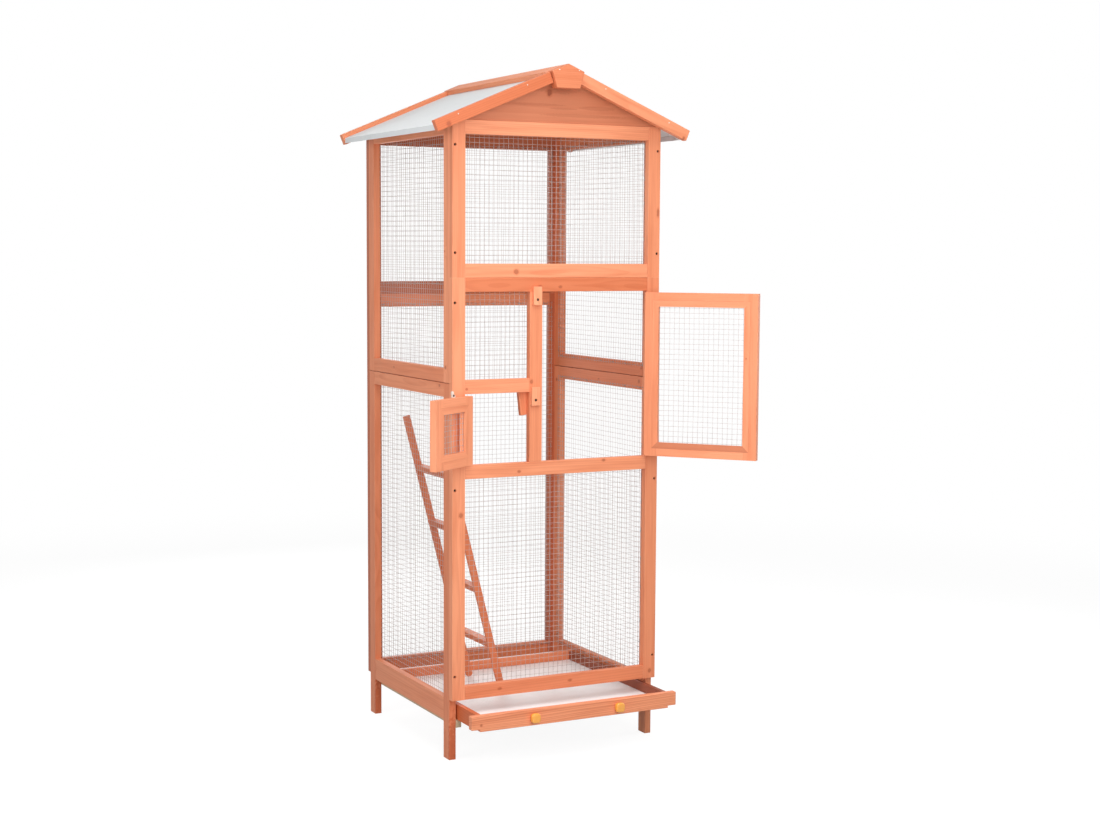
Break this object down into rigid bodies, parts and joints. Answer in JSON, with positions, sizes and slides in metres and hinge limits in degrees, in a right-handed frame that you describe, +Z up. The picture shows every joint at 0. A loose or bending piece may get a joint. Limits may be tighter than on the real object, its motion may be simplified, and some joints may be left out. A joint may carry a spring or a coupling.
{
  "type": "bird cage",
  "caption": "Tall wooden bird cage on legs, with wire mesh walls, a gabled roof, hinged doors with turn-buttons, a pull-out tray and a ladder.",
  "frame": {"origin": "on the floor under the middle of the body", "axes": "+Z up, the front with the doors and the tray towards -Y, +X to the right seen from the front"},
  "size_m": [0.8065, 0.8136, 1.6494],
  "materials": {
    "stained_wood": "stained, satin",
    "raw_wood": "bare",
    "galvanised_wire": "galvanised",
    "roof_sheet": "matte",
    "tray_panel": "matte",
    "amber_knob": "gloss",
    "hinge_steel": "satin",
    "screw_steel": "dull"
  },
  "bodies": {
    "cage": {"frame_screws": "screw_steel", "front_barge_boards": "stained_wood", "front_gable_board": "stained_wood", "front_lower_mesh": "galvanised_wire", "front_lower_rails": "stained_wood", "front_lower_stiles": "stained_wood", "front_middle_mesh": "galvanised_wire", "front_middle_rail": "stained_wood", "front_mullion": "stained_wood", "front_upper_mesh": "galvanised_wire", "front_upper_rails": "stained_wood", "front_upper_stiles": "stained_wood", "large_door_frame_hinge_leaves": "hinge_steel", "left_legs": "stained_wood", "left_lower_mesh": "galvanised_wire", "left_lower_rails": "stained_wood", "left_roof_sheet": "roof_sheet", "left_upper_mesh": "galvanised_wire", "left_upper_rails": "stained_wood", "left_upper_stiles": "stained_wood", "rear_barge_boards": "stained_wood", "rear_gable_board": "stained_wood", "rear_lower_mesh": "galvanised_wire", "rear_lower_rails": "stained_wood", "rear_lower_stiles": "stained_wood", "rear_upper_mesh": "galvanised_wire", "rear_upper_rails": "stained_wood", "rear_upper_stiles": "stained_wood", "ridge_battens": "stained_wood", "ridge_plates": "stained_wood", "right_legs": "stained_wood", "right_lower_mesh": "galvanised_wire", "right_lower_rails": "stained_wood", "right_roof_sheet": "roof_sheet", "right_upper_mesh": "galvanised_wire", "right_upper_rails": "stained_wood", "right_upper_stiles": "stained_wood", "small_door_frame_hinge_leaves": "hinge_steel", "small_door_stop": "stained_wood", "tray_runners": "raw_wood", "turn_button_screws": "screw_steel"},
    "large_door": {"large_door_stiles": "stained_wood", "large_door_rails": "stained_wood", "large_door_mesh": "galvanised_wire", "large_door_hinge_leaves": "hinge_steel"},
    "small_door": {"small_door_stiles": "stained_wood", "small_door_rails": "stained_wood", "small_door_mesh": "galvanised_wire", "small_door_hinge_leaves": "hinge_steel"},
    "upper_turn_button": {"upper_turn_button": "stained_wood"},
    "lower_turn_button": {"lower_turn_button": "stained_wood"},
    "tray": {"tray_front_board": "stained_wood", "tray_rear_board": "stained_wood", "tray_side_boards": "stained_wood", "tray_panel": "tray_panel", "tray_knobs": "amber_knob"},
    "ladder": {"ladder_rails": "stained_wood", "ladder_rungs": "stained_wood"}
  },
  "joints": [
    {"name": "large_door_hinge", "type": "hinge", "parent": "cage", "child": "large_door", "pos_m": [0.2444, -0.27325, 0.9125], "axis": [0, 0, 1], "range_deg": [-130.5, 45]},
    {"name": "small_door_hinge", "type": "hinge", "parent": "cage", "child": "small_door", "pos_m": [-0.2444, -0.27325, 0.793], "axis": [0, 0, -1], "range_deg": [-145, 30]},
    {"name": "upper_button_turn", "type": "hinge", "parent": "cage", "child": "upper_turn_button", "pos_m": [-0.06, -0.2754, 1.097], "axis": [0, 1, 0], "continuous": true},
    {"name": "lower_button_turn", "type": "hinge", "parent": "cage", "child": "lower_turn_button", "pos_m": [-0.064, -0.2754, 0.858], "axis": [0, 1, 0], "continuous": true},
    {"name": "tray_slide", "type": "slide", "parent": "cage", "child": "tray", "axis": [0, -1, 0], "range_m": [-0.1065, 0.12]},
    {"name": "ladder_lift", "type": "slide", "parent": "tray", "child": "ladder", "axis": [0, 0, 1], "range_m": [0, 0.08]}
  ]
}
